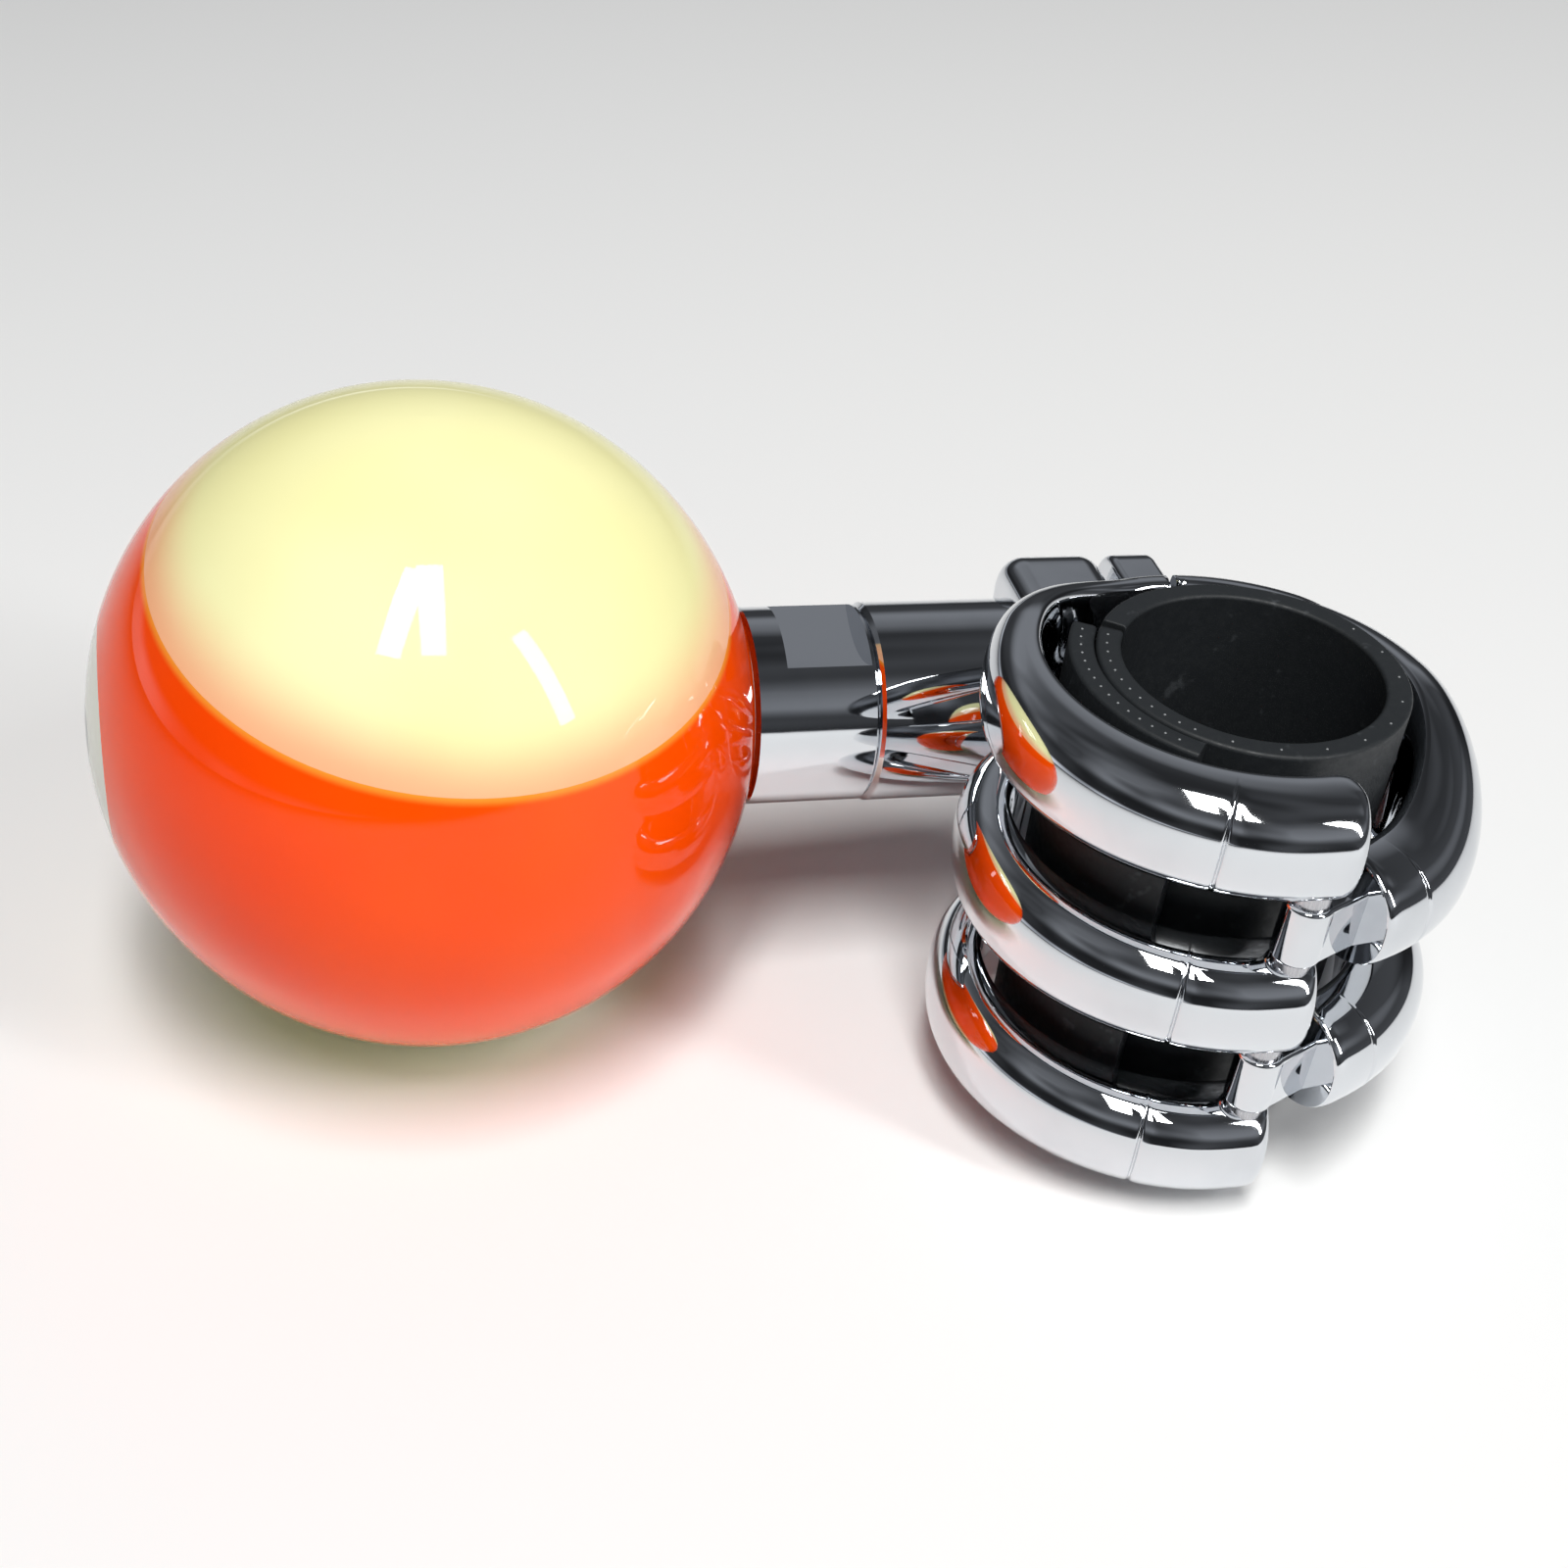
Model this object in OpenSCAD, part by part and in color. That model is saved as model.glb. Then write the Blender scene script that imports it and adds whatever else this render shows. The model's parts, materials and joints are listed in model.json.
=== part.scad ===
/* [Ball] */
// Diameter of the pool ball
ball_d = 57.15; // [56:0.05:58]
// Distance from the rim axis back to the ball's centre
ball_back = 62.6; // [61.5:0.1:64]
// Half height of the coloured band
band_half = 16.2; // [15:0.1:17]
// How far the ball is turned about its shaft at rest
band_turn = 12.6; // [0:0.1:20]
// How far the band leans off the shaft's line
band_lean = 3.8; // [0:0.1:5]
// Depth of the coloured resin under the surface
inlay_depth = 2.5; // [1.5:0.1:3]
// Radius of the white number disc
disc_r = 10; // [8:0.1:11]
// Height of the digits
digit_h = 9; // [7:0.1:10]

/* [Shaft] */
// Sideways offset of the knob's axis from the rim axis
shaft_y = 25.3; // [25:0.1:26]
// Radius of the bearing collar
collar_r = 8.8; // [8.6:0.05:8.9]
// Radius of the stem
stem_r = 8.95; // [8.9:0.01:9]
// Distance across the collar's two wrench flats
flats_w = 14.4; // [14:0.1:15]

/* [Rim clamp] */
// Radius of the wheel rim that the rubber liner grips
rim_r = 10.55; // [10.2:0.05:10.65]
// Height of the rubber liner
liner_h = 38.6; // [36:0.1:40]
// Height from one palm finger to the next
finger_pitch = 15.5; // [15.4:0.1:15.8]
// Radius to the outside of a finger
finger_out = 21.1; // [21:0.05:21.3]
// Height of a finger
finger_h = 9.6; // [9.2:0.1:9.7]
// How far the fingers sit below the knob's axis
finger_drop = 0.8; // [0:0.1:1]
// Height of the two lugs
lug_h = 22; // [20:0.5:23]
// Radius of the hinge barrel at the fingertips
barrel_r = 3.35; // [3.2:0.05:3.4]

/* [Fasteners] */
// Radius of the hinge pin
pin_r = 1.5; // [1.3:0.1:1.6]
// Radius of the clamp screw's thread
screw_r = 3; // [2.8:0.05:3.1]
// Length of the clamp screw under its head
screw_len = 20; // [18:0.5:21]

/* [Hidden] */
$fn = 96;

// Stations along the knob's axis, measured as X
ball_r = ball_d / 2;
ball_x = -ball_back;
spot_r = 9.3;
spot_x = ball_x + sqrt(ball_r * ball_r - spot_r * spot_r) - 0.8;
washer_t = 1;
collar_x = spot_x + washer_t + 0.05;
lip_t = 0.75;
bearing_w = 5;
bearing_gap = 1;
front_x = collar_x + lip_t;
rear_x = front_x + bearing_w + bearing_gap;
race_end = rear_x + bearing_w;
stem_x = -24.1;
lug_x = -9.9;
lug_gap = 0.35;
gate_face = 4.8;

// Digits on the number disc
digit_t = digit_h / 6;
bow_r = digit_h / 4 + digit_t / 4;
flag_w = digit_t * 1.5;
one_x = -digit_h * 0.3;
three_x = digit_h * 0.2;

// Shared radii and fits
eps = 0.05;
run_fit = 0.05;
bore_r = 3;
bearing_r = 6.5;
inner_race_r = 4.1;
outer_race_r = 5.4;
pitch_r = 4.75;
bead_r = 1.1;
bead_count = 7;
cage_gap = 0.25;
pocket_fit = 0.06;
thread_r = 3.9;
shoulder_r = 4.2;
end_thread_r = 2.5;
thrust_r = 8;
insert_r = 5.5;
insert_len = 14;
nut_r = 4.6;
nut_h = 3.4;
clip_w = 0.9;
clip_seat = 0.4;
clip_inner_r = 5.3;

// Collar and stem
lip_r = 5;
chamfer = 0.4;
flat_len = 7.6;
flat_back = 0.6;
spigot_r = 7.6;
spigot_len = 4.8;
stem_spigot_r = 6.5;
stem_spigot_len = 5;
chamber_r = 5.4;
chamber_len = 4;

// Clamp screw and its washers
head_r = 5;
head_h = 3.6;
socket_r = 2.6;
socket_h = 2.4;
screw_chamfer = 0.5;
flat_t = 1;
flat_washer_r = 6;
spring_t = 1.2;
spring_r = 5.2;
washer_gap = 0.2;
slot_r = 3.4;
washer_x = gate_face + eps;
spring_x = washer_x + flat_t;
head_x = spring_x + spring_t;

// Jaw dimensions; the jaws' inside is a circle a little off the rim's axis
hinge_r = finger_out - barrel_r;
finger_in = 13.5;
finger_round = 3.4;
inside_r = 15.3;
inside_x = -1;
inside_y = 0.9;
plate_r = 18.6;
plate_h = 2 * finger_pitch + 2.4;
jaw_gap_deg = 1.1;
palm_from = 116;
palm_plate_to = 160;
gate_to = 64;
gate_plate_from = 20;
lug_depth = 19;
lug_y = shaft_y - 0.7;
lug_corner = 4;
lug_edge = 1.8;
knuckle_h = finger_pitch - finger_h - 0.5;
gate_end = barrel_r + 0.35;
tip_h = finger_h - 1.2;
pin_top = finger_pitch + finger_h / 2 - 2;
plug_r = pin_r + 0.9;
plug_h = 1.8;
plug_top = -finger_pitch - finger_h / 2 + 2.4;

// Liner strips, as turns round the rim in degrees
strip_t = 2.2;
slit_end = 148;
inner_to = 506;
outer_from = 150;
outer_to = 232;

// Placing along the knob's axis: local Z becomes +X
module on_shaft(x = 0) {
    translate([x, shaft_y, 0]) rotate([0, 90, 0]) children();
}

// A turned piece on the knob's axis, from [radius, x] points
module turned(points) {
    on_shaft() rotate_extrude() polygon(points);
}

// A plain tube or rod on the knob's axis
module tube_on_shaft(x0, x1, r, hole = 0) {
    turned([[hole, x0], [r, x0], [r, x1], [hole, x1]]);
}

module rounded_rect(w, h, r) {
    square([w, h - 2 * r], center = true);
    square([w - 2 * r, h], center = true);
    for (sx = [-1, 1], sy = [-1, 1])
        translate([sx * (w / 2 - r), sy * (h / 2 - r)]) circle(r);
}

// ---- Ball ----
module whole_ball(r) {
    translate([ball_x, shaft_y, 0]) sphere(r);
}

// Ring-shaped groove round the equator that the coloured resin fills
module band_groove() {
    translate([ball_x, shaft_y, 0]) rotate([band_turn, band_lean, 0]) rotate_extrude() difference() {
        translate([0, -band_half]) square([ball_r + 1, 2 * band_half]);
        circle(ball_r - inlay_depth);
    }
}

module disc_zone() {
    on_shaft(ball_x - ball_r - 1) cylinder(r = disc_r, h = ball_r);
}

// Spot face and blind bore for the insert
module ball_bore() {
    tube_on_shaft(spot_x, ball_x + ball_r + 1, spot_r);
    tube_on_shaft(spot_x - insert_len - 1, spot_x + 1, insert_r);
}

module ball_core() {
    color("palegoldenrod") difference() {
        whole_ball(ball_r);
        band_groove();
        ball_bore();
    }
}

module stripe_band() {
    color("orangered") difference() {
        intersection() {
            whole_ball(ball_r);
            band_groove();
        }
        disc_zone();
        ball_bore();
    }
}

module digit_one() {
    translate([-digit_t / 2, -digit_h / 2]) square([digit_t, digit_h]);
    translate([-flag_w, digit_h / 2 - digit_t]) square([flag_w, digit_t]);
}

// Two open rings, one above the other
module digit_three() {
    for (s = [-1, 1])
        translate([0, s * (bow_r - digit_t / 2)]) difference() {
            circle(bow_r);
            circle(bow_r - digit_t);
            translate([-2 * bow_r, s > 0 ? -2 * bow_r : 0]) square([2 * bow_r, 2 * bow_r]);
        }
}

module digits_2d() {
    translate([one_x, 0]) digit_one();
    translate([three_x, 0]) digit_three();
}

module digits_zone() {
    translate([ball_x - ball_r - 1, shaft_y, 0]) rotate([band_turn, 0, 0]) rotate([90, 0, -90])
        mirror([0, 0, 1]) linear_extrude(ball_r) digits_2d();
}

module digit_skin() {
    difference() {
        whole_ball(ball_r);
        whole_ball(ball_r - inlay_depth / 2);
    }
}

module number_disc() {
    color("ivory") difference() {
        intersection() {
            whole_ball(ball_r);
            band_groove();
            disc_zone();
        }
        intersection() {
            digit_skin();
            digits_zone();
        }
    }
}

module number_digits() {
    color("black") intersection() {
        digit_skin();
        digits_zone();
    }
}

module ball_insert() {
    color("goldenrod") tube_on_shaft(spot_x - insert_len, spot_x, insert_r, thread_r);
}

module thrust_washer() {
    color("whitesmoke") tube_on_shaft(spot_x, spot_x + washer_t, thrust_r, shoulder_r + 0.1);
}

// ---- Spindle and bearings ----
module spindle() {
    tip_x = spot_x - insert_len + 1;
    tail_x = race_end + nut_h + 0.2;
    color("silver") turned([
        [0, tip_x], [thread_r, tip_x], [thread_r, spot_x], [shoulder_r, spot_x],
        [shoulder_r, front_x], [bore_r, front_x], [bore_r, race_end - eps],
        [end_thread_r, race_end - eps], [end_thread_r, tail_x], [0, tail_x]
    ]);
}

module race_groove(x) {
    on_shaft(x + bearing_w / 2) rotate_extrude()
        translate([pitch_r, 0]) circle(bead_r + run_fit);
}

module inner_race(x) {
    color("lightsteelblue") difference() {
        tube_on_shaft(x, x + bearing_w, inner_race_r, bore_r);
        race_groove(x);
    }
}

module outer_race(x) {
    color("lightsteelblue") difference() {
        tube_on_shaft(x, x + bearing_w, bearing_r, outer_race_r);
        race_groove(x);
    }
}

module bead_ring(x, r) {
    for (i = [0:bead_count - 1])
        on_shaft(x + bearing_w / 2) rotate([0, 0, i * 360 / bead_count])
            translate([pitch_r, 0, 0]) sphere(r);
}

// Ring with one round pocket for each ball
module ball_cage(x) {
    color("peru") difference() {
        tube_on_shaft(x + 1, x + bearing_w - 1, outer_race_r - cage_gap, inner_race_r + cage_gap);
        for (i = [0:bead_count - 1])
            on_shaft(x + bearing_w / 2) rotate([0, 0, i * 360 / bead_count])
                rotate([0, 90, 0]) cylinder(r = bead_r + pocket_fit, h = bearing_r);
    }
}

module front_inner_race() {
    inner_race(front_x);
}

module rear_inner_race() {
    inner_race(rear_x);
}

module front_outer_race() {
    outer_race(front_x);
}

module rear_outer_race() {
    outer_race(rear_x);
}

module front_balls() {
    color("silver") bead_ring(front_x, bead_r);
}

module rear_balls() {
    color("silver") bead_ring(rear_x, bead_r);
}

module front_ball_cage() {
    ball_cage(front_x);
}

module rear_ball_cage() {
    ball_cage(rear_x);
}

module inner_spacer() {
    color("silver") tube_on_shaft(front_x + bearing_w, rear_x, inner_race_r, bore_r);
}

module outer_spacer() {
    color("silver") tube_on_shaft(front_x + bearing_w, rear_x, bearing_r, outer_race_r + 0.2);
}

module spindle_nut() {
    color("silver") difference() {
        on_shaft(race_end) cylinder(r = nut_r, h = nut_h, $fn = 6);
        tube_on_shaft(race_end - 1, race_end + nut_h + 1, end_thread_r);
    }
}

// Open snap ring behind the rear bearing
module bearing_clip() {
    color("dimgray") difference() {
        tube_on_shaft(race_end, race_end + clip_w, bearing_r + clip_seat, clip_inner_r);
        translate([race_end - 1, shaft_y - 1.2, 0]) cube([3, 2.4, 10]);
    }
}

module bearing_collar() {
    spigot_end = stem_x + spigot_len;
    color("gainsboro") difference() {
        turned([
            [lip_r, collar_x], [collar_r - chamfer, collar_x], [collar_r, collar_x + chamfer],
            [collar_r, stem_x - chamfer], [collar_r - chamfer, stem_x], [spigot_r, stem_x],
            [spigot_r, spigot_end], [bearing_r, spigot_end], [bearing_r, front_x], [lip_r, front_x]
        ]);
        tube_on_shaft(race_end, race_end + clip_w, bearing_r + clip_seat, bearing_r - 0.1);
        for (s = [-1, 1])
            translate([stem_x - flat_back - flat_len, shaft_y - collar_r, s * (flats_w + collar_r) / 2])
                translate([0, 0, -collar_r / 2]) cube([flat_len, 2 * collar_r, collar_r]);
    }
}

module stem() {
    seat = stem_x + spigot_len;
    spigot_end = lug_x + stem_spigot_len;
    chamber_end = seat + chamber_len;
    color("gainsboro") turned([
        [spigot_r, stem_x], [stem_r - chamfer, stem_x], [stem_r, stem_x + chamfer],
        [stem_r, lug_x], [stem_spigot_r, lug_x], [stem_spigot_r, spigot_end],
        [screw_r + eps, spigot_end], [screw_r + eps, chamber_end], [chamber_r, chamber_end],
        [chamber_r, seat], [spigot_r, seat]
    ]);
}

// ---- Jaws ----
// Section of a finger: flat inside, rounded outside
module finger_section() {
    shoulder = finger_out - finger_round;
    translate([finger_in, -finger_h / 2]) square([shoulder - finger_in, finger_h]);
    translate([finger_in, -finger_h / 2 + finger_round])
        square([finger_out - finger_in, finger_h - 2 * finger_round]);
    for (s = [-1, 1])
        translate([shoulder, s * (finger_h / 2 - finger_round)]) circle(finger_round);
}

module finger(step, from, to) {
    translate([0, 0, step * finger_pitch - finger_drop]) rotate([0, 0, from])
        rotate_extrude(angle = to - from) finger_section();
}

// Curved plate that joins the fingers of one jaw at the back
module back_plate(from, to) {
    translate([0, 0, -finger_drop]) rotate([0, 0, from]) rotate_extrude(angle = to - from)
        translate([(finger_in + plate_r) / 2, 0]) rounded_rect(plate_r - finger_in, plate_h, 1.4);
}

module jaw_inside() {
    translate([inside_x, inside_y, -liner_h]) cylinder(r = inside_r, h = 2 * liner_h);
}

// Rod on the hinge axis, with its heights measured from the middle finger
module hinge_rod(r, z0, z1) {
    translate([0, -hinge_r, z0 - finger_drop]) cylinder(r = r, h = z1 - z0);
}

// Block with rounded edges, between two X stations
module lug(x0, x1) {
    intersection() {
        translate([x0, lug_y, 0]) rotate([90, 0, 90])
            linear_extrude(x1 - x0) rounded_rect(lug_depth, lug_h, lug_corner);
        translate([(x0 + x1) / 2, lug_y, -lug_h]) linear_extrude(2 * lug_h)
            rounded_rect(x1 - x0, lug_depth, lug_edge);
    }
}

module palm_jaw() {
    back_deg = 90 + jaw_gap_deg;
    color("gainsboro") difference() {
        union() {
            for (i = [-1:1]) {
                finger(i, palm_from, 270);
                hinge_rod(barrel_r, i * finger_pitch - tip_h / 2, i * finger_pitch + tip_h / 2);
            }
            back_plate(back_deg, palm_plate_to);
            lug(lug_x, -lug_gap);
        }
        jaw_inside();
        tube_on_shaft(lug_x - 20, lug_x, stem_r + eps);
        tube_on_shaft(lug_x - 1, lug_x + stem_spigot_len, stem_spigot_r);
        tube_on_shaft(lug_x, 5, slot_r);
        hinge_rod(pin_r, -liner_h, pin_top);
        hinge_rod(plug_r, -liner_h, plug_top);
    }
}

module gate_jaw() {
    back_deg = 90 - jaw_gap_deg;
    color("gainsboro") difference() {
        union() {
            difference() {
                for (s = [-1, 1])
                    finger(s / 2, -90, gate_to);
                translate([gate_end - 20, -2 * hinge_r, -liner_h])
                    cube([20, 1.5 * hinge_r, 2 * liner_h]);
            }
            for (s = [-1, 1]) {
                hinge_rod(barrel_r, (s * finger_pitch - knuckle_h) / 2, (s * finger_pitch + knuckle_h) / 2);
                translate([gate_end / 2 + 0.5, -hinge_r, s * finger_pitch / 2 - finger_drop])
                    cube([gate_end + 1, 2 * barrel_r - 1.2, knuckle_h], center = true);
            }
            back_plate(gate_plate_from, back_deg);
            lug(lug_gap, gate_face);
        }
        jaw_inside();
        tube_on_shaft(-1, 8, slot_r);
        translate([-1, shaft_y, -slot_r]) cube([8, 20, 2 * slot_r]);
        hinge_rod(pin_r + run_fit, -liner_h, liner_h);
    }
}

module hinge_pin() {
    color("silver") hinge_rod(pin_r, plug_top, pin_top);
}

module pin_plug() {
    color("gainsboro") hinge_rod(plug_r, plug_top - plug_h, plug_top);
}

// ---- Liner ----
module strip(r0, r1, from, to) {
    rotate([0, 0, from]) rotate_extrude(angle = to - from)
        translate([r0, -liner_h / 2]) square([r1 - r0, liner_h]);
}

module liner_outer() {
    color("dimgray") strip(rim_r + strip_t, rim_r + 2 * strip_t, outer_from, outer_to);
}

module liner_inner() {
    color("dimgray") strip(rim_r, rim_r + strip_t, slit_end, inner_to);
}

// ---- Clamp screw ----
module clamp_screw() {
    tip_x = head_x - screw_len;
    top_x = head_x + head_h;
    color("silver") difference() {
        turned([
            [0, tip_x], [screw_r - screw_chamfer, tip_x], [screw_r, tip_x + screw_chamfer],
            [screw_r, head_x], [head_r, head_x], [head_r, top_x - screw_chamfer],
            [head_r - screw_chamfer, top_x], [0, top_x]
        ]);
        on_shaft(top_x - socket_h) cylinder(r = socket_r, h = 2 * socket_h, $fn = 6);
    }
}

module flat_washer() {
    color("silver") tube_on_shaft(washer_x, spring_x, flat_washer_r, screw_r + washer_gap);
}

// Split ring, cut at one place
module spring_washer() {
    color("dimgray") difference() {
        tube_on_shaft(spring_x, head_x, spring_r, screw_r + washer_gap);
        translate([spring_x - 1, shaft_y - 0.5, 0]) cube([4, 1, 8]);
    }
}

ball_core();
stripe_band();
number_disc();
number_digits();
ball_insert();
thrust_washer();
spindle();
front_inner_race();
rear_inner_race();
inner_spacer();
spindle_nut();
front_ball_cage();
front_balls();
rear_ball_cage();
rear_balls();
bearing_collar();
front_outer_race();
rear_outer_race();
outer_spacer();
bearing_clip();
stem();
palm_jaw();
hinge_pin();
pin_plug();
liner_outer();
liner_inner();
gate_jaw();
clamp_screw();
flat_washer();
spring_washer();
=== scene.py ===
import json
import math

import bmesh
import bpy
from mathutils import Matrix, Vector


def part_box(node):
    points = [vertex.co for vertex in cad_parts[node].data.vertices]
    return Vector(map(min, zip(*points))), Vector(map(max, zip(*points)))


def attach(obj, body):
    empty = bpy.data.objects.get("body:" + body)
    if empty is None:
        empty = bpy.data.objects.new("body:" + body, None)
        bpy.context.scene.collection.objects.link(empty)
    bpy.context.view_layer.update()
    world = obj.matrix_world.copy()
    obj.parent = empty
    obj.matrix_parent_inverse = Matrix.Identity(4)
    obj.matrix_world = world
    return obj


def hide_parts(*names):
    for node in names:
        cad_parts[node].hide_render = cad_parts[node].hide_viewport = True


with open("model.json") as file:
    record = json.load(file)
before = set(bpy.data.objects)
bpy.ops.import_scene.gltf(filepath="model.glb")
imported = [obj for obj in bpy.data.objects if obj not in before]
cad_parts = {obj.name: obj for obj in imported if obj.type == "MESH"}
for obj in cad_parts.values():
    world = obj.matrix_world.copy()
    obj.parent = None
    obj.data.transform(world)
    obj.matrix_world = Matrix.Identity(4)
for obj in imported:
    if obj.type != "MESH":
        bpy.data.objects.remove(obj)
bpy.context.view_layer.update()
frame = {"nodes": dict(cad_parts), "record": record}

MM = 0.001
nodes = frame["nodes"]


def middle(node):
    low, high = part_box(node)
    return (Vector(low) + Vector(high)) / 2


def size(node):
    low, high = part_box(node)
    return Vector(high) - Vector(low)


# ---- Driving places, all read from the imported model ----
ball_radius = size("ball_core").z / 2
shaft_y = middle("stem").y
disc_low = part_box("number_disc")[0]
ball_centre = Vector((disc_low[0] + ball_radius, shaft_y, 0))

# The coloured band's plane: half height, turn about the shaft and lean off it
BAND_HALF = 16.2 * MM
BAND_TURN = math.radians(12.6)
BAND_LEAN = math.radians(3.8)
# How far its colour bleeds into the cream, how that edge wanders, and the band's own pale fringe
BLEED = 5 * MM
WANDER = 2 * MM
FRINGE_WIDTH = 0.7 * MM
band_axis = (Matrix.Rotation(BAND_LEAN, 3, "Y") @ Matrix.Rotation(BAND_TURN, 3, "X")) @ Vector((0, 0, 1))


# ---- Material helpers ----
class Graph:
    """A material's node tree, with short calls for the nodes used here."""

    def __init__(self, name):
        self.material = bpy.data.materials.new(name)
        self.material.use_nodes = True
        self.tree = self.material.node_tree
        self.shader = self.tree.nodes["Principled BSDF"]
        self.where = self.tree.nodes.new("ShaderNodeTexCoord").outputs["Object"]

    def link(self, value, socket):
        if isinstance(value, bpy.types.NodeSocket):
            self.tree.links.new(value, socket)
        else:
            socket.default_value = value
        return self

    def set(self, **values):
        for name, value in values.items():
            self.link(value, self.shader.inputs[name.replace("_", " ")])
        return self

    def math(self, operation, a, b=0.0):
        node = self.tree.nodes.new("ShaderNodeMath")
        node.operation = operation
        self.link(a, node.inputs[0])
        self.link(b, node.inputs[1])
        return node.outputs[0]

    def split(self):
        """The x, y and z of the point on the surface."""
        node = self.tree.nodes.new("ShaderNodeSeparateXYZ")
        self.link(self.where, node.inputs[0])
        return node.outputs

    def band_height(self):
        """Distance from the middle plane of the ball's band."""
        node = self.tree.nodes.new("ShaderNodeVectorMath")
        node.operation = "DOT_PRODUCT"
        self.link(self.where, node.inputs[0])
        node.inputs[1].default_value = band_axis
        middle_plane = ball_centre.dot(band_axis)
        return self.math("ABSOLUTE", self.math("SUBTRACT", node.outputs["Value"], middle_plane))

    def noise(self, scale, detail=2.0, roughness=0.5, vector=None):
        node = self.tree.nodes.new("ShaderNodeTexNoise")
        self.link(vector or self.where, node.inputs["Vector"])
        node.inputs["Scale"].default_value = scale
        node.inputs["Detail"].default_value = detail
        node.inputs["Roughness"].default_value = roughness
        return node.outputs["Fac"]

    def ramp(self, value, low, high, out_low=0.0, out_high=1.0):
        """Smooth step from out_low to out_high as the value goes from low to high."""
        node = self.tree.nodes.new("ShaderNodeMapRange")
        node.interpolation_type = "SMOOTHSTEP"
        self.link(value, node.inputs["Value"])
        for name, number in (("From Min", low), ("From Max", high),
                             ("To Min", out_low), ("To Max", out_high)):
            node.inputs[name].default_value = number
        return node.outputs["Result"]

    def mix(self, factor, a, b):
        node = self.tree.nodes.new("ShaderNodeMix")
        node.data_type = "RGBA"
        self.link(factor, node.inputs[0])
        self.link(a, node.inputs[6])
        self.link(b, node.inputs[7])
        return node.outputs[2]

    def bump(self, height, strength, distance):
        node = self.tree.nodes.new("ShaderNodeBump")
        node.inputs["Strength"].default_value = strength
        node.inputs["Distance"].default_value = distance
        self.link(height, node.inputs["Height"])
        return self.set(Normal=node.outputs[0])


def rgb(r, g, b):
    return (r, g, b, 1.0)


def smudges(graph, low, high):
    """Roughness that wanders between low and high, as handling leaves it."""
    return graph.ramp(graph.noise(90, 4, 0.6), 0.35, 0.7, low, high)


CREAM = rgb(0.88, 0.84, 0.42)
PALE_CREAM = rgb(0.92, 0.89, 0.50)
PEACH = rgb(0.95, 0.46, 0.25)
ORANGE = rgb(1.0, 0.085, 0.0)
DEEP_ORANGE = rgb(0.96, 0.06, 0.001)
FRINGE = rgb(0.95, 0.30, 0.03)
OFF_WHITE = rgb(0.80, 0.80, 0.70)
INK = rgb(0.012, 0.014, 0.018)


def resin(graph):
    """The polish that all of the ball's resin shares."""
    graph.set(Roughness=smudges(graph, 0.02, 0.05), IOR=1.5, Specular_IOR_Level=0.28)
    return graph


def cream_resin():
    graph = resin(Graph("cream_resin"))
    wander = graph.math("MULTIPLY", graph.math("SUBTRACT", graph.noise(45, 2), 0.5), WANDER)
    height = graph.math("ADD", graph.band_height(), wander)
    edge = graph.ramp(height, BAND_HALF, BAND_HALF + BLEED)
    cloud = graph.ramp(graph.noise(26, 3), 0.35, 0.7)
    cream = graph.mix(cloud, CREAM, PALE_CREAM)
    graph.set(Base_Color=graph.mix(edge, PEACH, cream))
    return graph.material


def orange_resin():
    graph = resin(Graph("orange_resin"))
    edge = graph.ramp(graph.band_height(), BAND_HALF - FRINGE_WIDTH, BAND_HALF)
    cloud = graph.ramp(graph.noise(30, 3), 0.3, 0.75)
    orange = graph.mix(cloud, ORANGE, DEEP_ORANGE)
    graph.set(Base_Color=graph.mix(edge, orange, FRINGE))
    return graph.material


def disc_resin():
    graph = resin(Graph("disc_resin"))
    cloud = graph.ramp(graph.noise(60, 3), 0.3, 0.75)
    graph.set(Base_Color=graph.mix(cloud, OFF_WHITE, rgb(0.74, 0.74, 0.66)))
    return graph.material


def ink_resin():
    graph = resin(Graph("ink_resin"))
    cloud = graph.noise(120, 2)
    graph.set(Base_Color=graph.mix(cloud, INK, rgb(0.03, 0.032, 0.04)))
    return graph.material


def chrome():
    graph = Graph("chrome_plate")
    haze = graph.ramp(graph.noise(55, 4, 0.6), 0.45, 0.8)
    graph.set(Base_Color=graph.mix(haze, rgb(0.70, 0.72, 0.75), rgb(0.60, 0.62, 0.65)),
              Metallic=1.0, Roughness=smudges(graph, 0.02, 0.06))
    graph.bump(graph.noise(140, 2), 0.06, 0.3 * MM)
    return graph.material


def ground_steel(name, light, dark, roughness):
    graph = Graph(name)
    along, _, up = graph.split()
    rings = graph.noise(2500, 2, 0.6, graph.math("ADD", along, graph.math("MULTIPLY", up, 0.02)))
    graph.set(Base_Color=graph.mix(rings, light, dark), Metallic=1.0,
              Roughness=graph.ramp(rings, 0.2, 0.8, roughness, roughness + 0.14))
    graph.bump(rings, 0.15, 0.05 * MM)
    return graph.material


def nylon():
    graph = Graph("nylon")
    graph.set(Base_Color=graph.mix(graph.noise(200), rgb(0.8, 0.79, 0.72), rgb(0.72, 0.71, 0.64)),
              Roughness=0.5, Subsurface_Weight=0.2)
    return graph.material


def rubber():
    graph = Graph("liner_rubber")
    grain = graph.noise(1400, 3, 0.7)
    dust = graph.ramp(graph.noise(420, 3, 0.6), 0.62, 0.75)
    dark = graph.mix(graph.noise(35, 3), rgb(0.012, 0.014, 0.016), rgb(0.022, 0.025, 0.028))
    graph.set(Base_Color=graph.mix(dust, dark, rgb(0.05, 0.055, 0.06)),
              Roughness=graph.ramp(grain, 0.3, 0.7, 0.42, 0.6), Specular_IOR_Level=0.35)
    graph.bump(grain, 0.25, 0.06 * MM)
    return graph.material


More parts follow.
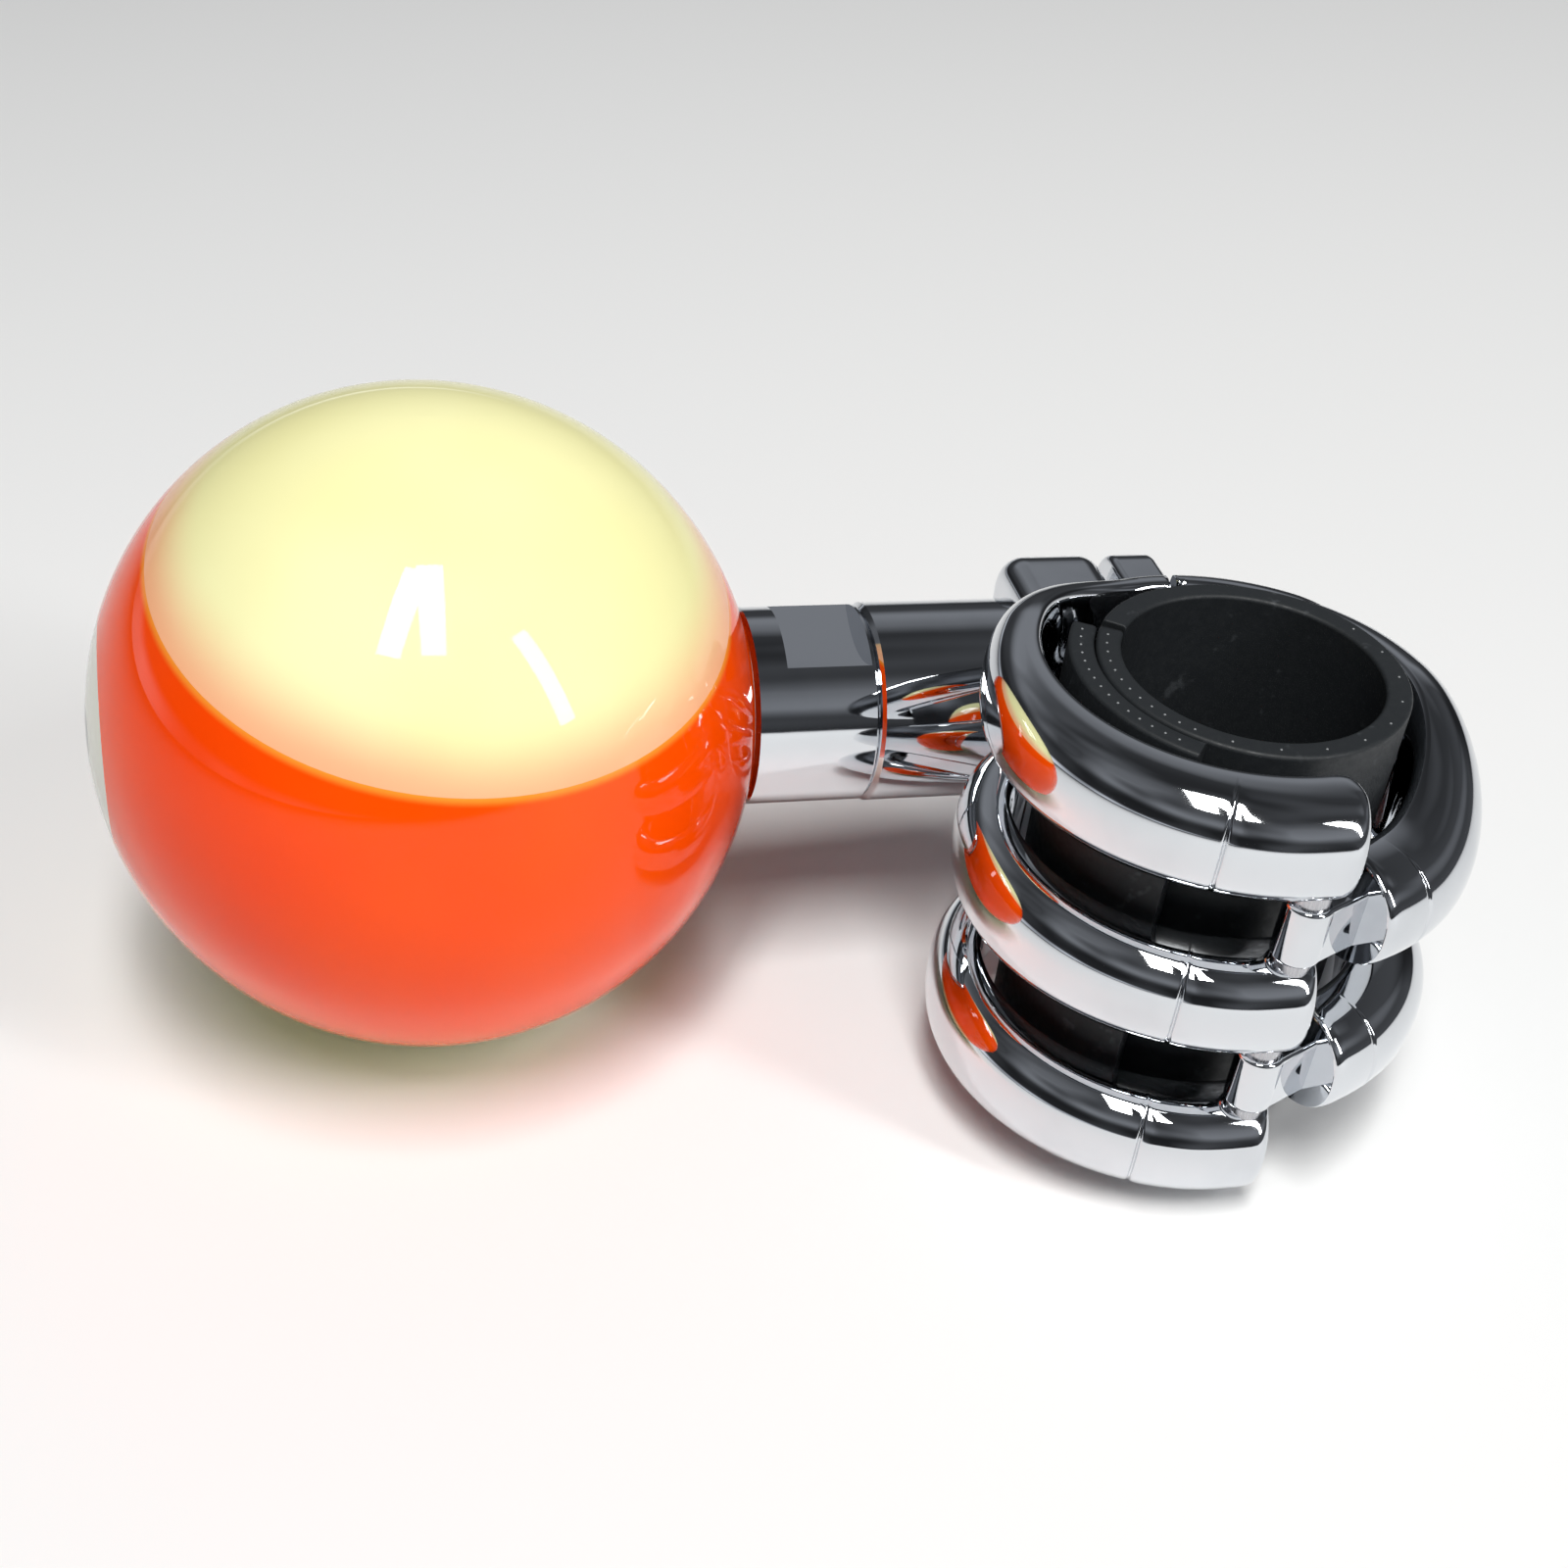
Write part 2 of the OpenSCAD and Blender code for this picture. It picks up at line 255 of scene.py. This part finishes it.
finish = {
    "ball_cream": cream_resin(),
    "ball_orange": orange_resin(),
    "ball_white": disc_resin(),
    "ball_ink": ink_resin(),
    "chrome": chrome(),
    "steel": ground_steel("ground_steel", rgb(0.62, 0.62, 0.64), rgb(0.42, 0.42, 0.45), 0.2),
    "spring_steel": ground_steel("spring_steel", rgb(0.12, 0.12, 0.14), rgb(0.06, 0.06, 0.07), 0.3),
    "brass": ground_steel("turned_brass", rgb(0.80, 0.56, 0.22), rgb(0.62, 0.42, 0.15), 0.2),
    "nylon": nylon(),
    "rubber": rubber(),
}

for part in frame["record"]["subparts"]:
    mesh = nodes[part["node"]].data
    mesh.materials.clear()
    mesh.materials.append(finish[part["material_slot"]])


# ---- Mesh helpers ----
def smoothstep(low, high, value):
    t = min(max((value - low) / (high - low), 0.0), 1.0)
    return t * t * (3 - 2 * t)


def superround(phi, power):
    """Point on a unit superellipse, at angle phi."""
    c, s = math.cos(phi), math.sin(phi)
    return (math.copysign(abs(c) ** (2 / power), c), math.copysign(abs(s) ** (2 / power), s))


def piece(name, verts, faces, slot, body, *stands_for):
    """A finished mesh piece in millimetres, riding on a body and standing for CAD nodes."""
    mesh = bpy.data.meshes.new(name)
    mesh.from_pydata([Vector(v) * MM for v in verts], [], faces)
    work = bmesh.new()
    work.from_mesh(mesh)
    bmesh.ops.recalc_face_normals(work, faces=work.faces)
    work.to_mesh(mesh)
    work.free()
    for polygon in mesh.polygons:
        polygon.use_smooth = True
    mesh.materials.append(finish[slot])
    made = bpy.data.objects.new(name, mesh)
    made.modifiers.new("flat_faces_stay_flat", "WEIGHTED_NORMAL")
    bpy.context.scene.collection.objects.link(made)
    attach(made, body)
    if stands_for:
        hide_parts(*stands_for)
    return made


# Longest side of an outline that a round hole is joined to
HOLE_SIDE = 0.6


class Build:
    """Closed bodies collected into one mesh."""

    def __init__(self):
        self.verts = []
        self.faces = []

    def loft(self, rings):
        """Skins a list of closed rings and caps both ends."""
        start, count = len(self.verts), len(rings[0])
        for ring in rings:
            self.verts.extend(ring)
        for i in range(len(rings) - 1):
            for j in range(count):
                k = (j + 1) % count
                a, b = start + i * count, start + (i + 1) * count
                self.faces.append((a + j, a + k, b + k, b + j))
        self.faces.append(tuple(start + j for j in reversed(range(count))))
        self.faces.append(tuple(start + (len(rings) - 1) * count + j for j in range(count)))
        return self

    def tube(self, rings):
        """Skins closed rings that run on from the last back to the first, with no caps."""
        start, count = len(self.verts), len(rings[0])
        for ring in rings:
            self.verts.extend(ring)
        for i in range(len(rings)):
            for j in range(count):
                k = (j + 1) % count
                a, b = start + i * count, start + (i + 1) % len(rings) * count
                self.faces.append((a + j, a + k, b + k, b + j))
        return self

    def prism(self, outline, low, high, place, edge, steps=5, hole=None):
        """An outline pushed from low to high, with both rims rounded by edge.

        place maps (u, v, w) to a point, and hole is the (u, v, radius) of a round hole right through.
        """
        if hole:
            outline = filled_in(outline, HOLE_SIDE)
        rings = []
        for i in range(steps + 1):
            turn = math.pi / 2 * i / steps
            rings.append((edge * (1 - math.sin(turn)), low + edge * (1 - math.cos(turn))))
        rings += [(inset, high + low - w) for inset, w in reversed(rings)]
        skin = [[place(u, v, w) for u, v in shrink(outline, inset)] for inset, w in rings]
        if not hole:
            return self.loft(skin)
        middle_u, middle_v, radius = hole
        turns = [math.atan2(v - middle_v, u - middle_u) for u, v in outline]
        bore = [(middle_u + radius * math.cos(t), middle_v + radius * math.sin(t)) for t in turns]
        return self.tube(skin + [[place(u, v, high) for u, v in bore], [place(u, v, low) for u, v in bore]])


def filled_in(outline, step):
    """The same closed outline with points at most a step apart."""
    points = []
    for i, (x, y) in enumerate(outline):
        far_x, far_y = outline[(i + 1) % len(outline)]
        parts = max(1, math.ceil(math.hypot(far_x - x, far_y - y) / step))
        points += [(x + (far_x - x) * k / parts, y + (far_y - y) * k / parts) for k in range(parts)]
    return points


def shrink(outline, inset):
    """A closed anticlockwise outline moved inward along its own normals."""
    count = len(outline)
    moved = []
    for i, (x, y) in enumerate(outline):
        before, after = outline[i - 1], outline[(i + 1) % count]
        dx, dy = after[0] - before[0], after[1] - before[1]
        length = math.hypot(dx, dy) or 1.0
        moved.append((x - dy / length * inset, y + dx / length * inset))
    return moved


def arc(cx, cy, radius, start, end, steps=12):
    return [(cx + radius * math.cos(math.radians(start + (end - start) * i / steps)),
             cy + radius * math.sin(math.radians(start + (end - start) * i / steps)))
            for i in range(steps + 1)]


# ---- Jaw shapes, in millimetres ----
palm_low, palm_high = (Vector(c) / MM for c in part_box("palm_jaw"))
gate_high = Vector(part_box("gate_jaw")[1]) / MM
SCREW_Y = shaft_y / MM

# The fingers' outer radius, the radius of the CAD's hinge barrel, and the hinge's place
FINGER_OUT = gate_high.x
BARREL = palm_high.x
HINGE_Y = -(FINGER_OUT - BARREL)

# Half height of a finger; the pitch and how far all of them sit below the middle follow
FINGER_HALF = 4.8
PITCH = (palm_high.z - palm_low.z - 2 * FINGER_HALF) / 2
DROP = -(palm_high.z + palm_low.z) / 2

# Inner circle of both jaws: centre x, centre y and radius
INSIDE = (-1.0, 0.9, 15.3)

# Cross-section: points in a ring, depth of the inner lip, and how square each side is
SECTION = 56
LIP = 1.3
LIP_POWER = 3.2
FINGER_POWER = 2.3
PLATE_POWER = 6.0

# Angles round the rim's axis, in degrees from +X, and how many rings and how narrow the end ones are
JAW_GAP = 1.1
PALM_START = 90 + JAW_GAP
PALM_END = 270.0
PALM_RISES = (100, 152)
PALM_CREASE = 244
PALM_RINGS = 180
PALM_SQUEEZE = 0.97
GATE_START = 90 - JAW_GAP
GATE_END = -74.0
GATE_SINKS = (28, 80)
GATE_WIDENS = (-62, 12)
GATE_CREASE = -61
GATE_RINGS = 170
GATE_SQUEEZES = (0.93, 0.975, 0.993)

# Crease across each finger: its depth, its width as an angle, and the fine rings that draw it
CREASE = 0.24
CREASE_WIDTH = 0.4
CREASE_STEP = 0.15
CREASE_STEPS = 8
CREASE_CLEAR = 1.25

# Palm tips: length past the hinge, slight raise beyond the crease and the angles it comes and goes
# in, rings, the height lost towards the end, and how square the end is
TIP = 2.1
TIP_RAISE = 0.12
TIP_RAISES = 3
TIP_SINKS = 15
TIP_RINGS = 14
TIP_FLATTENS = 0.15
TIP_POWER = 3.2

# Back plates: half height, outer radius, thickness and lost height where they fade out, and angles
PLATE_TOP = PITCH + 2.2
PLATE_OUT = 18.5
PLATE_EDGE = 1.6
PLATE_SINKS = 1.5
PALM_PLATE_END = 165
PALM_PLATE_FADES = 128
GATE_PLATE_END = 8
GATE_PLATE_FADES = 55

# Lugs: each one's stretch along x and its edge radius, then what both share
PALM_LUG = (-9.9, -0.35)
PALM_LUG_EDGE = 2.2
GATE_LUG = (0.35, 4.8)
GATE_LUG_EDGE = 0.7
LUG_FRONT = 16.5
LUG_HALF = 11.0
LUG_CORNER = 3.6
SCREW_HOLE_R = 3.4

# Hinge: the gate's knuckle and its neck, and the plug below the pin
KNUCKLE_R = 2.0
KNUCKLE_TURN = (60, 315)
KNUCKLE_EDGE = 0.4
KNUCKLE_GAP = 0.5
NECK_END = 6.4
NECK_FRONT = 0.9
NECK_BACK = 3.4
PLUG_R = 1.7
PLUG_DOME = 0.35
PLUG_TOP = 1.6


def inside_radius(angle):
    """Distance from the rim's axis to the jaws' inner wall, in the direction of angle."""
    cx, cy, radius = INSIDE
    c, s = math.cos(math.radians(angle)), math.sin(math.radians(angle))
    along = cx * c + cy * s
    return along + math.sqrt(radius * radius - (cx * cx + cy * cy - along * along))


def section(angle, outer, middle_z, up, down, squeeze=1.0, power=FINGER_POWER):
    """One ring of a finger: flat with a soft lip inside, domed outside."""
    inner = inside_radius(angle)
    lip = inner + LIP
    centre = (inner + outer) / 2
    points = []
    for i in range(SECTION):
        phi = 2 * math.pi * i / SECTION
        if math.cos(phi) >= 0:
            x, z = superround(phi, power)
            radius = lip + (outer - lip) * x
        else:
            x, z = superround(phi, LIP_POWER)
            radius = lip + (lip - inner) * x
        height = z * (up if z > 0 else down)
        points.append((centre + (radius - centre) * squeeze, height * squeeze))
    c, s = math.cos(math.radians(angle)), math.sin(math.radians(angle))
    return [(r * c, r * s, middle_z + h) for r, h in points]


def crease(angle, place):
    """Depth of the shallow line across a finger near its tip."""
    return CREASE * math.exp(-((angle - place) / CREASE_WIDTH) ** 2)


def ring_angles(start, end, count, place):
    """Even steps from start to end, with fine ones where the crease is."""
    even = [start + (end - start) * i / count for i in range(count + 1)]
    fine = [place + CREASE_STEP * i for i in range(-CREASE_STEPS, CREASE_STEPS + 1)]
    return sorted([a for a in even if abs(a - place) > CREASE_CLEAR] + fine, reverse=end < start)


def palm_finger(build, step):
    """A finger from the back plate round the left of the rim to its rounded tip at the hinge."""
    middle_z = step * PITCH - DROP
    rings = []
    for i, angle in enumerate(ring_angles(PALM_START, PALM_END, PALM_RINGS, PALM_CREASE)):
        grown = smoothstep(*PALM_RISES, angle)
        outer = PLATE_OUT + (FINGER_OUT - PLATE_OUT) * grown - crease(angle, PALM_CREASE)
        outer += TIP_RAISE * smoothstep(PALM_CREASE, PALM_CREASE + TIP_RAISES, angle)
        outer -= TIP_RAISE * smoothstep(PALM_END - TIP_SINKS, PALM_END, angle)
        sunk = FINGER_HALF - (1 - grown) * (PITCH + FINGER_HALF - PLATE_TOP)
        up = FINGER_HALF if step < 1 else sunk
        down = FINGER_HALF if step > -1 else sunk
        squeeze = 1.0 if i else PALM_SQUEEZE
        rings.append(section(angle, outer, middle_z, up, down, squeeze))
    last = rings[-1]
    for i in range(1, TIP_RINGS + 1):
        along, across = superround(math.pi / 2 * (1 - i / TIP_RINGS), TIP_POWER)[::-1]
        ahead, narrow = TIP * across, max(along, 0.03)
        flat = 1 - TIP_FLATTENS * (1 - narrow)
        rings.append([(x + ahead, HINGE_Y + (y - HINGE_Y) * narrow,
                       middle_z + (z - middle_z) * flat) for x, y, z in last])
    build.loft(rings)


def back_plate(build, start, end, fades):
    """Curved wall that carries a jaw's fingers; from the angle fades on, its edge sinks into them."""
    rings = []
    count = 70
    for i in range(count + 1):
        angle = start + (end - start) * i / count
        thin = smoothstep(fades, end, angle) if end > fades else 1 - smoothstep(end, fades, angle)
        inner = inside_radius(angle)
        outer = PLATE_OUT - thin * (PLATE_OUT - inner - PLATE_EDGE)
        height = PLATE_TOP - thin * PLATE_SINKS
        rings.append(section(angle, outer, -DROP, height, height, power=PLATE_POWER))
    build.loft(rings)


def gate_finger(build, side):
    """A finger from the back plate round the right of the rim to its square end at the hinge."""
    middle_z = side * PITCH / 2 - DROP
    rings = []
    angles = ring_angles(GATE_START, GATE_END, GATE_RINGS, GATE_CREASE)
    for i, angle in enumerate(angles):
        sunk = smoothstep(*GATE_SINKS, angle)
        outer = FINGER_OUT - (FINGER_OUT - PLATE_OUT) * sunk - crease(angle, GATE_CREASE)
        tall = FINGER_HALF + (PLATE_TOP - PITCH / 2 - FINGER_HALF) * smoothstep(*GATE_WIDENS, angle)
        up, down = (tall, FINGER_HALF) if side > 0 else (FINGER_HALF, tall)
        ends = min(i, len(angles) - 1 - i)
        squeeze = GATE_SQUEEZES[ends] if ends < len(GATE_SQUEEZES) else 1.0
        rings.append(section(angle, outer, middle_z, up, down, squeeze))
    build.loft(rings)


def knuckle(build, side):
    """Hinge eye of the gate, between two palm tips, with its neck."""
    half = (PITCH - 2 * FINGER_HALF - KNUCKLE_GAP) / 2
    middle_z = side * PITCH / 2 - DROP
    outline = arc(0, HINGE_Y, KNUCKLE_R, *KNUCKLE_TURN, 40)
    outline += [(NECK_END, HINGE_Y + NECK_FRONT), (NECK_END, HINGE_Y + NECK_BACK)]
    build.prism(outline, middle_z - half, middle_z + half, flat_place, KNUCKLE_EDGE)


def flat_place(u, v, w):
    """An outline in (x, y), pushed along z."""
    return (u, v, w)


def upright_place(u, v, w):
    """An outline in (y, z), pushed along x."""
    return (w, u, v)


def lug_outline(slotted):
    """Rounded rectangle in (y, z), with a slot for the screw from the far side if slotted."""
    near, far = LUG_FRONT + LUG_CORNER, palm_high.y - LUG_CORNER
    high = LUG_HALF - LUG_CORNER
    outline = arc(near, -high, LUG_CORNER, 180, 270)
    outline += arc(far, -high, LUG_CORNER, 270, 360)
    if slotted:
        outline.append((palm_high.y, -SCREW_HOLE_R))
        outline += arc(SCREW_Y, 0, SCREW_HOLE_R, 270, 90, 24)
        outline.append((palm_high.y, SCREW_HOLE_R))
    outline += arc(far, high, LUG_CORNER, 0, 90)
    outline += arc(near, high, LUG_CORNER, 90, 180)
    return outline


def palm_casting():
    palm = Build()
    for step in (-1, 0, 1):
        palm_finger(palm, step)
    back_plate(palm, PALM_START, PALM_PLATE_END, PALM_PLATE_FADES)
    hole = (SCREW_Y, 0, SCREW_HOLE_R)
    palm.prism(lug_outline(False), *PALM_LUG, upright_place, PALM_LUG_EDGE, 8, hole)
    piece("palm_jaw_casting", palm.verts, palm.faces, "chrome", "clamp", "palm_jaw")


def gate_casting():
    gate = Build()
    for side in (-1, 1):
        gate_finger(gate, side)
        knuckle(gate, side)
    back_plate(gate, GATE_START, GATE_PLATE_END, GATE_PLATE_FADES)
    gate.prism(lug_outline(True), *GATE_LUG, upright_place, GATE_LUG_EDGE, 6)
    piece("gate_jaw_casting", gate.verts, gate.faces, "chrome", "gate", "gate_jaw")


palm_casting()
gate_casting()


def hinge_plug():
    """Round plug with a domed face that closes the pin's hole under the lowest palm tip."""
    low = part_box("pin_plug")[0][2] / MM
    rings = [(PLUG_R, low + PLUG_TOP)]
    for i in range(6):
        rise = math.pi / 2 * i / 6
        rings.append((PLUG_R * math.cos(rise), low + PLUG_DOME - PLUG_DOME * math.sin(rise)))
    turns = [a * math.pi / 16 for a in range(32)]
    build = Build().loft([[(r * math.cos(a), HINGE_Y + r * math.sin(a), z) for a in turns]
                          for r, z in rings])
    piece("hinge_plug_cap", build.verts, build.faces, "chrome", "clamp", "pin_plug")


hinge_plug()


# ---- Rubber liner, in millimetres: an inner strip nearly all the way round, an outer one on the left ----
LINER_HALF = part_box("liner_inner")[1][2] / MM
RIM_R = 10.55
STRIP = 2.2
STRIP_SLACK = 0.12
STRIP_CORNER = 0.35
INNER_TURN = (148, 505.5)
OUTER_TURN = (150, 232)
DOT_R = 0.12


def liner_strip(name, inner, start, end, lag, node):
    """A strip bent round the rim, with soft edges and slightly wandering thickness."""
    rings = []
    count = 150
    high = LINER_HALF - STRIP_CORNER
    for i in range(count + 1):
        angle = start + (end - start) * i / count
        radians = math.radians(angle)
        near = inner + 0.04 * math.sin(3 * radians + lag)
        thick = STRIP - STRIP_SLACK - 0.05 * math.sin(5 * radians + lag)
        close, far = near + STRIP_CORNER, near + thick - STRIP_CORNER
        outline = arc(close, -high, STRIP_CORNER, 180, 270, 4)
        outline += arc(far, -high, STRIP_CORNER, 270, 360, 4)
        outline += arc(far, high, STRIP_CORNER, 0, 90, 4)
        outline += arc(close, high, STRIP_CORNER, 90, 180, 4)
        rings.append([(r * math.cos(radians), r * math.sin(radians), z) for r, z in outline])
    build = Build().loft(rings)
    piece(name, build.verts, build.faces, "rubber", "clamp", node)


liner_strip("liner_inner_strip", RIM_R, *INNER_TURN, 0.4, "liner_inner")
liner_strip("liner_outer_strip", RIM_R + STRIP, *OUTER_TURN, 1.7, "liner_outer")


def dusty_rubber():
    """The same rubber where handling has left it grey."""
    graph = Graph("dusty_rubber")
    graph.set(Base_Color=graph.mix(graph.noise(900), rgb(0.20, 0.21, 0.22), rgb(0.32, 0.33, 0.34)),
              Roughness=0.6)
    return graph.material


def liner_dots():
    """Small moulded dots in rows along the liner's top edge, closer together on the left."""
    build = Build()
    # each row's radius, first angle, last angle and step
    rows = [(RIM_R + 0.55 * STRIP, 154, 228, 6.5), (RIM_R + 1.5 * STRIP, 154, 228, 5.0),
            (RIM_R + 0.55 * STRIP, 240, 400, 18.0)]
    for radius, start, end, step in rows:
        for i in range(int((end - start) / step) + 1):
            turn = math.radians(start + i * step)
            x, y = radius * math.cos(turn), radius * math.sin(turn)
            rings = []
            for level in range(4):
                rise = math.pi / 2 * level / 4
                wide = DOT_R * math.cos(rise)
                rings.append([(x + wide * math.cos(a * math.pi / 4), y + wide * math.sin(a * math.pi / 4),
                               LINER_HALF - 0.05 + DOT_R * math.sin(rise)) for a in range(8)])
            build.loft(rings)
    dots = piece("liner_edge_dots", build.verts, build.faces, "rubber", "clamp")
    dots.data.materials[0] = dusty_rubber()


liner_dots()


# ---- Camera ----
EYE = Vector((-76.9, -133.3, 108.2)) * MM
AIM = Vector((-38.9, -7.3, 0)) * MM
ROLL = math.radians(7.23)
camera = bpy.data.cameras.new("camera")
camera.lens = 49.9
camera.shift_x = 0.0075
camera.shift_y = 0.1
camera.clip_start = 0.01
seat = bpy.data.objects.new("camera", camera)
bpy.context.scene.collection.objects.link(seat)
seat.rotation_mode = "QUATERNION"
seat.location = EYE
aimed = (AIM - EYE).to_track_quat("-Z", "Y")
seat.rotation_quaternion = aimed @ Matrix.Rotation(ROLL, 3, "Z").to_quaternion()
bpy.context.scene.camera = seat


# ---- Floor: tilted, so that it touches the ball and passes about 1 mm under the clamp ----
FLOOR_HALF = 30.0
# About how far past the rim's axis the floor reaches the clamp's lowest height, in palm jaw widths
CLAMP_REACH = 0.75


def lay_floor():
    clamp_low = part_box("palm_jaw")[0][2]
    run = Vector((ball_centre.x, ball_centre.y, 0))
    reach = run.length + size("palm_jaw").x * CLAMP_REACH
    drop = clamp_low + ball_radius
    tilt = math.asin(drop / reach)
    toward_clamp = (-run).normalized()
    normal = (Vector((0, 0, 1)) * math.cos(tilt) - toward_clamp * math.sin(tilt)).normalized()
    contact = ball_centre - normal * ball_radius
    side = normal.cross(Vector((1, 0, 0))).normalized()
    ahead = side.cross(normal)
    mesh = bpy.data.meshes.new("floor")
    corners = [contact + side * FLOOR_HALF * a + ahead * FLOOR_HALF * b
               for a, b in ((-1, -1), (-1, 1), (1, 1), (1, -1))]
    mesh.from_pydata(corners, [], [(0, 1, 2, 3)])
    floor = bpy.data.objects.new("floor", mesh)
    bpy.context.scene.collection.objects.link(floor)
    graph = Graph("pale_floor")
    graph.set(Base_Color=graph.mix(graph.noise(3), rgb(0.86, 0.86, 0.86), rgb(0.89, 0.89, 0.89)),
              Roughness=0.7)
    mesh.materials.append(graph.material)


lay_floor()


# ---- Light ----
# Sine of the height above the horizon, and how bright the room is there
ROOM = ((-1.0, 0.85), (-0.04, 0.80), (0.02, 0.05), (0.28, 0.04), (0.5, 0.15), (0.8, 0.10), (1.0, 0.06))
# How much dimmer and brighter than that the room's clutter makes it
DIMMEST = 0.45
BRIGHTEST = 1.6
CLUTTER_SCALE = 1.7
# Places of the lamps from the ball's centre, their sizes in metres and their watts
LAMP_HEIGHT = 1.0
WINDOW_X = -0.10
WINDOW_PANES = (-0.085, 0.085)
WINDOW_Y = -0.38
WINDOW_SIZE = (0.15, 0.58)
WINDOW_POWER = 5.4
SIDE_X = 0.93
SIDE_Y = -0.9
SIDE_SIZE = (0.17, 0.9)
SIDE_POWER = 9.0


def softbox(name, offset, wide, tall, power, tint=(1, 1, 1)):
    """A rectangular lamp at an offset from the ball's centre, and aimed at it."""
    light = bpy.data.lights.new(name, "AREA")
    light.shape = "RECTANGLE"
    light.size = wide
    light.size_y = tall
    light.energy = power
    light.color = tint
    holder = bpy.data.objects.new(name, light)
    bpy.context.scene.collection.objects.link(holder)
    holder.location = ball_centre + offset
    holder.rotation_mode = "QUATERNION"
    holder.rotation_quaternion = (ball_centre - (ball_centre + offset)).to_track_quat("-Z", "Y")


def studio_world():
    """A room by height: pale below, dark along the walls, grey-blue higher up, dark overhead."""
    world = bpy.data.worlds.new("studio")
    world.use_nodes = True
    tree = world.node_tree
    sky = tree.nodes.new("ShaderNodeTexCoord")
    parts = tree.nodes.new("ShaderNodeSeparateXYZ")
    shade = tree.nodes.new("ShaderNodeValToRGB")
    shade.color_ramp.interpolation = "EASE"
    stops = shade.color_ramp.elements
    while len(stops) < len(ROOM):
        stops.new(1.0)
    for stop, (height, grey) in zip(stops, ROOM):
        stop.position = (height + 1) / 2
        stop.color = rgb(grey * 0.96, grey, grey * 1.08)
    level = tree.nodes.new("ShaderNodeMapRange")
    level.inputs["From Min"].default_value = -1.0
    tree.links.new(sky.outputs["Generated"], parts.inputs[0])
    tree.links.new(parts.outputs[2], level.inputs["Value"])
    tree.links.new(level.outputs["Result"], shade.inputs[0])
    clutter = tree.nodes.new("ShaderNodeTexNoise")
    clutter.inputs["Scale"].default_value = CLUTTER_SCALE
    clutter.inputs["Detail"].default_value = 1.0
    uneven = tree.nodes.new("ShaderNodeMapRange")
    uneven.inputs["From Min"].default_value = 0.38
    uneven.inputs["From Max"].default_value = 0.62
    uneven.inputs["To Min"].default_value = DIMMEST
    uneven.inputs["To Max"].default_value = BRIGHTEST
    tree.links.new(sky.outputs["Generated"], clutter.inputs["Vector"])
    tree.links.new(clutter.outputs["Fac"], uneven.inputs["Value"])
    tree.links.new(uneven.outputs["Result"], tree.nodes["Background"].inputs["Strength"])
    tree.links.new(shade.outputs[0], tree.nodes["Background"].inputs["Color"])
    bpy.context.scene.world = world


studio_world()
# One wide window of two panes above the knob, and one narrow pane to the right
for i, pane in enumerate(WINDOW_PANES):
    softbox(f"window_pane_{i}", Vector((WINDOW_X + pane, WINDOW_Y, LAMP_HEIGHT)), *WINDOW_SIZE,
            WINDOW_POWER, (1, 1, 0.98))
softbox("side_pane", Vector((SIDE_X, SIDE_Y, LAMP_HEIGHT)), *SIDE_SIZE, SIDE_POWER)

bpy.context.scene.view_settings.view_transform = "Standard"
